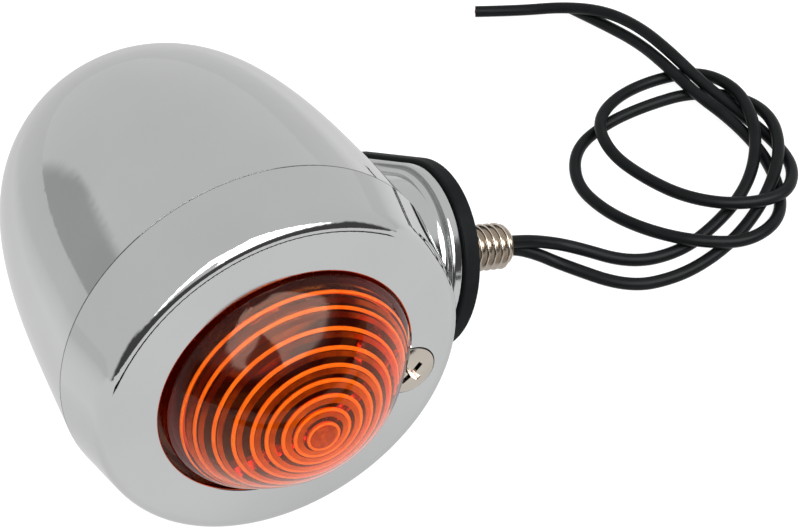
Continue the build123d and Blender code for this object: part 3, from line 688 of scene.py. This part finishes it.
def ring(verts, faces, row, depth, rise):
    rr, dx, dy, half = row
    cx, cy = LC[0] + dx, LC[1] + dy
    k = int(np.abs(il[:, 0] - rr).argmin())
    k = min(max(k, 1), len(il) - 2)
    zz = float(np.interp(rr, il[::-1, 0], il[::-1, 1]))
    tr, tz = il[k + 1] - il[k - 1]
    L = math.hypot(tr, tz)
    tr, tz = tr / L, tz / L                  # along the inner face, towards the axis
    nr, nz = tz, -tr                         # outward, into the wall
    sect = []
    for q in range(9):
        w = -1 + q / 4
        sect.append((w * half, rise * (1 - w * w) + 0.03))
    for q in range(9):
        w = 1 - q / 4
        sect.append((w * half, -depth * math.sqrt(max(0.0, 1 - w * w)) - 0.02))
    steps = 200
    runs, run = [], []
    for j in range(steps + 1):
        a = math.radians(-0.9) + 2 * math.pi * j / steps
        px, py = cx + rr * math.cos(a), cy + rr * math.sin(a)
        if math.hypot(px - SC[0], py - SC[1]) < 6.95 + half:
            if run:
                runs.append(run)
            run = []
        else:
            run.append(a)
    if run:
        runs.append(run)
    closed = len(runs) == 1 and len(runs[0]) == steps + 1
    for run in runs:
        if closed:
            run = run[:-1]
        if len(run) < 3:
            continue
        base, n = len(verts), len(sect)
        for a in run:
            for w, d in sect:
                r, z = rr + tr * w + nr * d, zz + tz * w + nz * d
                verts.append(lamp(cx + r * math.cos(a), cy + r * math.sin(a), z))
        m_ = len(run)
        for i in range(m_ if closed else m_ - 1):
            for q in range(n):
                i2, q2 = (i + 1) % m_, (q + 1) % n
                faces.append((base + i * n + q, base + i2 * n + q, base + i2 * n + q2, base + i * n + q2))
        if not closed:
            faces.append(tuple(base + q for q in range(n)))
            faces.append(tuple(base + (m_ - 1) * n + q for q in reversed(range(n))))


rings("lens_ribs", RIBS, 0.45, 0.16, rib_m)
rings("lens_rib_flanks", [(rr - half - 0.40, dx, dy, 0.39) for rr, dx, dy, half in RIBS[:-1]], 0.2, 0.02, flank_m)
rings("lens_centre", [(RIBS[-1][0] / 2 - 0.08, RIBS[-1][1], RIBS[-1][2], RIBS[-1][0] / 2 - 0.12)], 0.15, 0.02, centre_m)

# ---------------------------------------------------------------- stud with its 5/16-18 thread
STUD = LAMP @ Matrix.Translation((0, 0, -27.2 * MM)) @ Matrix.Rotation(math.radians(90), 4, "Y")
me = threaded("stud_thread", STUD, 3.96, 25.4 / 18, 19.6, 54.2, bore=2.3, end0=(0.8, 0.75), end1=(0.95, 0.85), turns=96, per=14)
stud = add_object("stud_thread", me, "housing", MAT_NICKEL.m)
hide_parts("mounting_stud")

# ---------------------------------------------------------------- bezel screw: head, cross recess, threaded shank
m = LAMP @ Matrix.Translation((SC[0] * MM, SC[1] * MM, 0))
HEAD_R, HEAD_Z = 4.17, 0.88
head = [(0.0, HEAD_Z)]
for i in range(1, 13):
    r = (HEAD_R - 0.06) * i / 12
    head.append((r, HEAD_Z - 0.72 * (r / HEAD_R) ** 2.1))
head += [(HEAD_R, 0.04), (HEAD_R, -0.36), (HEAD_R - 0.02, -0.42), (2.14, -2.06), (2.06, -2.2), (2.06, -2.6), (0.0, -2.6)]
hd = scratch("screw_head_cut", lathe("screw_head", head, 96, SC))
for k in (0, 90):
    a = math.radians(SCREW_TURN + k)
    c, s = math.cos(a), math.sin(a)
    bm = bmesh.new()
    pts = []
    for z, reach, half in ((1.1, 2.15, 0.45), (0.55, 2.12, 0.45), (-0.2, 1.55, 0.42), (-1.3, 0.55, 0.30)):
        ring = []
        for px, py in ((-reach, -half), (reach, -half), (reach, half), (-reach, half)):
            ring.append(bm.verts.new(m @ Vector(((px * c - py * s) * MM, (px * s + py * c) * MM, z * MM))))
        pts.append(ring)
    bm.faces.new(list(reversed(pts[0])))
    bm.faces.new(pts[-1])
    for ra, rb in zip(pts, pts[1:]):
        for q in range(4):
            bm.faces.new((ra[q], ra[(q + 1) % 4], rb[(q + 1) % 4], rb[q]))
    bmesh.ops.recalc_face_normals(bm, faces=bm.faces)
    cm = bpy.data.meshes.new("cross")
    bm.to_mesh(cm)
    bm.free()
    boolean(hd, scratch("cross_cut", cm))
smooth(hd.data, 25.0)
hm = hd.data
bpy.data.objects.remove(hd)
sh = threaded("screw_shank", m, 2.06, 25.4 / 32, -17.0, -2.5, end0=(0.7, 0.55), end1=(0, 0), turns=64, per=12, plain=-4.2, plain_r=2.06)
# one mesh of two closed shells
bm = bmesh.new()
bm.from_mesh(hm)
bm.from_mesh(sh)
me = bpy.data.meshes.new("bezel_screw_part")
bm.to_mesh(me)
bm.free()
smooth(me, 25.0)
screw = add_object("bezel_screw_part", me, "screw", MAT_SCREW.m)
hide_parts("bezel_screw")

# ---------------------------------------------------------------- filament coil
pts = []
for i in range(421):
    t = i / 420
    y = -3.25 + 6.5 * t
    a = 2 * math.pi * 17 * t
    env = min(1.0, 14 * min(t, 1 - t))
    pts.append(lamp(0.42 * env * math.cos(a), y, -20.5 - 0.25 * math.sin(math.pi * t) + 0.42 * env * math.sin(a)))
coil = add_object("filament_coil", tube_mesh("filament_coil", pts, 0.07 * MM, ring=8), "bulb", MAT_TUNGSTEN.m)
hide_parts("bulb_filament")

# ---------------------------------------------------------------- contact spring
SPR_A, SPR_B = -63.03, -57.03
pts = []
turns = 5.2
for i in range(521):
    t = i / 520
    lift = min(max((t - 0.10) / 0.80, 0.0), 1.0)      # the end turns lie nearly closed
    z = SPR_A + 0.40 + (SPR_B - SPR_A - 0.80) * (0.10 * t + 0.90 * lift)
    a = 2 * math.pi * turns * t
    pts.append(lamp(4.6 * math.cos(a), 4.6 * math.sin(a), z))
spring = add_object("contact_spring_coil", tube_mesh("contact_spring_coil", pts, 0.40 * MM, ring=14), "housing", MAT_SPRING.m)
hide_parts("contact_spring")
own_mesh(spring)

# ---------------------------------------------------------------- floor and light
me = mesh_from("floor", [(-3, -3, 0), (3, -3, 0), (3, 3, 0), (-3, 3, 0)], [(0, 1, 2, 3)])
paper = Mat("paper").set(color=(0.20, 0.20, 0.20), rough=0.95, spec=0.0, emit=(1.0, 1.0, 1.0), emit_s=0.90)
floor = add_object("floor", me, None, paper.m)
floor.visible_glossy = False


def card(name, corners, color, glow=0.0, tone=None, lift=0.0):
    """A studio card that only the plating and the lens mirror."""
    k = Mat(name).set(color=color, rough=1.0, spec=0.0, emit=(1.0, 1.0, 1.0), emit_s=glow)
    if tone:
        tone(k)
    o = add_object(name, mesh_from(name, [(x, y, z + lift) for x, y, z in corners], [(0, 1, 2, 3)]), None, k.m)
    o.visible_camera = False
    o.visible_diffuse = False
    o.visible_shadow = False
    return o


def table_tone(k):
    """The table, as the plating sees it, with painted shade: its glow is darker close round the lamp, a painted shadow,
    and behind it.
    """
    tx = k.node("ShaderNodeSeparateXYZ")
    k.link(k.coord.outputs["Object"], tx.inputs[0])
    across = k.math("POWER", tx.outputs[0], 2.0)
    along = k.math("POWER", k.math("MULTIPLY", k.math("SUBTRACT", tx.outputs[1], 0.01), 0.6), 2.0)
    # painted shadow: the card's glow darkened round the lamp's footprint
    near = k.span(k.math("SQRT", k.math("ADD", across, along)), 0.10, 0.03, 0.0, 0.32)
    near = k.math("MULTIPLY", near, k.span(tx.outputs[1], -0.05, -0.015, 0.0, 1.0))
    painted_back_shade = k.span(tx.outputs[1], 0.04, 0.16, 0.0, 0.20)
    k.link(k.mix(k.math("ADD", near, painted_back_shade, clamp=True), (1.0, 1.0, 1.0), (0.0, 0.0, 0.0)), k.b.inputs["Emission Color"])


card("table_card", [(-3, -3, 0.0), (3, -3, 0.0), (3, 3, 0.0), (-3, 3, 0.0)], (0.0, 0.0, 0.0), 1.03, table_tone, -0.0004)
card("black_card", [(-0.15, -0.16, 0.0), (0.15, -0.16, 0.0), (0.15, -0.16, 0.014), (-0.15, -0.16, 0.014)], (0.01, 0.01, 0.01))

world = bpy.data.worlds.new("studio")
bpy.context.scene.world = world
world.use_nodes = True
t = world.node_tree
t.nodes.clear()
wo = t.nodes.new("ShaderNodeOutputWorld")
bg = t.nodes.new("ShaderNodeBackground")
t.links.new(bg.outputs[0], wo.inputs[0])
tc = t.nodes.new("ShaderNodeTexCoord")


def w_math(op, a, b=None, clamp=False):
    n = t.nodes.new("ShaderNodeMath")
    n.operation = op
    n.use_clamp = clamp
    for i, v in enumerate((a, b)):
        if v is None:
            continue
        if isinstance(v, (int, float)):
            n.inputs[i].default_value = v
        else:
            t.links.new(v, n.inputs[i])
    return n.outputs[0]


nrm = t.nodes.new("ShaderNodeVectorMath")
nrm.operation = "NORMALIZE"
t.links.new(tc.outputs["Generated"], nrm.inputs[0])


def toward(v):
    n = t.nodes.new("ShaderNodeVectorMath")
    n.operation = "DOT_PRODUCT"
    t.links.new(nrm.outputs[0], n.inputs[0])
    n.inputs[1].default_value = tuple(Vector(v).normalized())
    return n.outputs["Value"]


def step(v, a, b):
    n = t.nodes.new("ShaderNodeMapRange")
    n.interpolation_type = "SMOOTHSTEP"
    n.inputs[1].default_value, n.inputs[2].default_value = a, b
    n.inputs[3].default_value, n.inputs[4].default_value = 0.0, 1.0
    t.links.new(v, n.inputs[0])
    return n.outputs[0]


# a white tent with even walls, a soft box over the front with a stand's outline in it, one wall patch in shade, the room dark below the box
base = 0.88
sx = t.nodes.new("ShaderNodeSeparateXYZ")
t.links.new(nrm.outputs[0], sx.inputs[0])
az = w_math("ARCTAN2", sx.outputs[0], sx.outputs[1])
front = w_math("ARCTAN2", w_math("MULTIPLY", sx.outputs[0], -1.0), w_math("MULTIPLY", sx.outputs[1], -1.0))
el = w_math("ARCSINE", sx.outputs[2])


def band(v, a, b, soft):
    """1 between the angles a and b, in degrees, with soft edges."""
    up = step(v, math.radians(a - soft), math.radians(a + soft))
    down = step(v, math.radians(b - soft), math.radians(b + soft))
    return w_math("MULTIPLY", up, w_math("SUBTRACT", 1.0, down))


shade = w_math("MULTIPLY", band(az, -48, -28, 2), w_math("SUBTRACT", 1.0, step(el, math.radians(14), math.radians(19))))
box = w_math("MULTIPLY", band(front, -62, 44, 2.5), band(el, 31, 76, 2.5))
stand = w_math("MULTIPLY", band(front, 2, 33, 1.5), w_math("SUBTRACT", 1.0, step(w_math("ADD", el, w_math("MULTIPLY", w_math("ABSOLUTE", w_math("SUBTRACT", front, math.radians(12))), 0.8)), math.radians(53), math.radians(56))))
box = w_math("MULTIPLY", box, w_math("SUBTRACT", 1.0, stand))
dark = w_math("MULTIPLY", band(front, -75, 75, 8), w_math("SUBTRACT", 1.0, step(el, math.radians(22), math.radians(30))))
level = w_math("SUBTRACT", w_math("ADD", base, w_math("MULTIPLY", box, 7.0)), w_math("MULTIPLY", shade, base * 0.38))
level = w_math("SUBTRACT", level, w_math("MULTIPLY", dark, base * 0.90))
t.links.new(level, bg.inputs["Strength"])
bg.inputs["Color"].default_value = (1.0, 1.0, 1.0, 1.0)


bpy.context.scene.view_settings.view_transform = "Standard"
bpy.context.scene.view_settings.look = "None"
bpy.context.scene.view_settings.exposure = 0.0
bpy.context.scene.view_settings.gamma = 1.0
